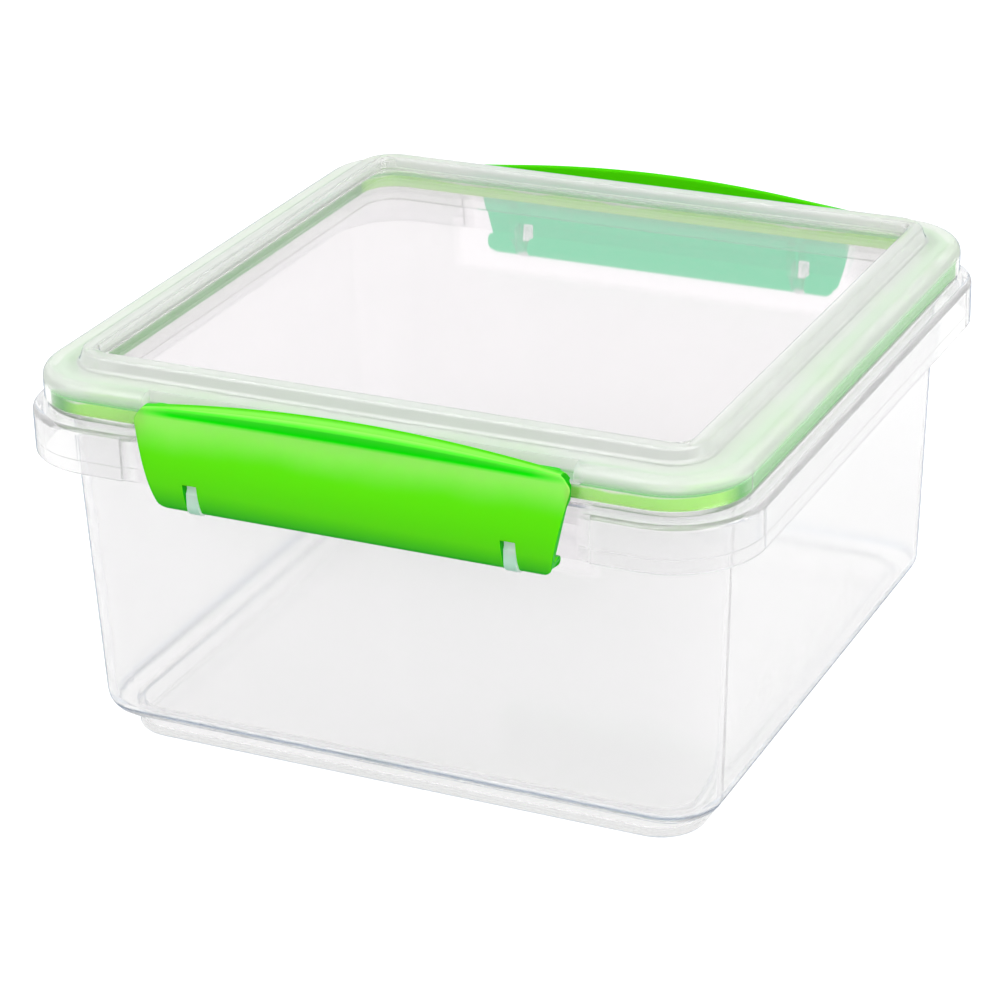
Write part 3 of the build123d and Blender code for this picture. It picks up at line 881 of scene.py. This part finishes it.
def studio_world(stage):
    """World that lights the box at its own level and is white wherever it is seen.

    It is seen straight, mirrored and through the clear plastic.
    """
    world = bpy.data.worlds.new("studio")
    world.use_nodes = True
    tree = world.node_tree
    tree.nodes.clear()
    seen = on_rays(tree, "Is Camera Ray", "Is Glossy Ray", "Is Transmission Ray")
    light = add_node(tree, "ShaderNodeBackground", Color=(1, 1, 1, 1), Strength=stage.world_level)
    white = add_node(tree, "ShaderNodeBackground", Color=(1, 1, 1, 1), Strength=1.0)
    out = add_node(tree, "ShaderNodeOutputWorld")
    tree.links.new(blend(tree, seen, light.outputs[0], white.outputs[0]), out.inputs["Surface"])
    return world


def add_softbox(stage, name, place, size, power):
    """Area lamp that faces the box."""
    place = Vector(place)
    lamp = bpy.data.lights.new(name, "AREA")
    lamp.shape = "RECTANGLE"
    lamp.size, lamp.size_y = size
    lamp.energy = power
    holder = bpy.data.objects.new(name, lamp)
    turn = (Vector((0, 0, stage.target_height)) - place).to_track_quat("-Z", "Y")
    holder.matrix_world = Matrix.LocRotScale(place, turn, None)
    bpy.context.scene.collection.objects.link(holder)


def add_camera(stage):
    """Camera at the photograph's angle."""
    az, el, roll = stage.azimuth, stage.elevation, stage.roll
    back = Vector((math.sin(az) * math.cos(el), -math.cos(az) * math.cos(el), math.sin(el)))
    right = Vector((math.cos(az), math.sin(az), 0))
    up = back.cross(right)
    across = right * math.cos(roll) + up * math.sin(roll)
    upward = up * math.cos(roll) - right * math.sin(roll)
    place = Vector((0, 0, stage.target_height)) + stage.shift_across * across
    place = place + stage.shift_up * upward + stage.distance * back
    lens = bpy.data.cameras.new("camera")
    lens.lens = stage.focal_length
    lens.clip_start = stage.near_limit
    camera = bpy.data.objects.new("camera", lens)
    turn = Matrix((across, upward, back)).transposed().to_quaternion()
    camera.matrix_world = Matrix.LocRotScale(place, turn, None)
    bpy.context.scene.collection.objects.link(camera)
    return camera


class FoodBoxPanel(bpy.types.Panel):
    """Buttons and settings of the food box"""

    bl_label = "Food box"
    bl_idname = "VIEW3D_PT_food_box"
    bl_space_type = "VIEW_3D"
    bl_region_type = "UI"
    bl_category = "Food box"

    def draw(self, context):
        column = self.layout.column()
        for operator in OPERATORS:
            column.operator(operator.bl_idname)
        for holder in SETTINGS:
            settings = getattr(context.scene, holder)
            for key in settings.bl_rna.properties.keys()[2:]:
                column.prop(settings, key)


SETTINGS = {"food_box_clip": ClipSizes, "food_box_colours": BoxColours,
            "food_box_places": FinishPlaces, "food_box_plastic": PlasticFinish,
            "food_box_stage": StageSettings}
OPERATORS = (DressTub, DressLid, BuildClips, BuildStage)
CLASSES = tuple(SETTINGS.values()) + OPERATORS + (FoodBoxPanel,)


def register():
    for kind in CLASSES:
        bpy.utils.register_class(kind)
    for holder, group in SETTINGS.items():
        setattr(bpy.types.Scene, holder, bpy.props.PointerProperty(type=group))


def unregister():
    for holder in SETTINGS:
        delattr(bpy.types.Scene, holder)
    for kind in reversed(CLASSES):
        bpy.utils.unregister_class(kind)


def main():
    """Builds the pieces and the stage."""
    register()
    bpy.ops.food_box.tub()
    bpy.ops.food_box.lid()
    bpy.ops.food_box.clips()
    bpy.ops.food_box.stage()


if __name__ == "__main__":
    main()
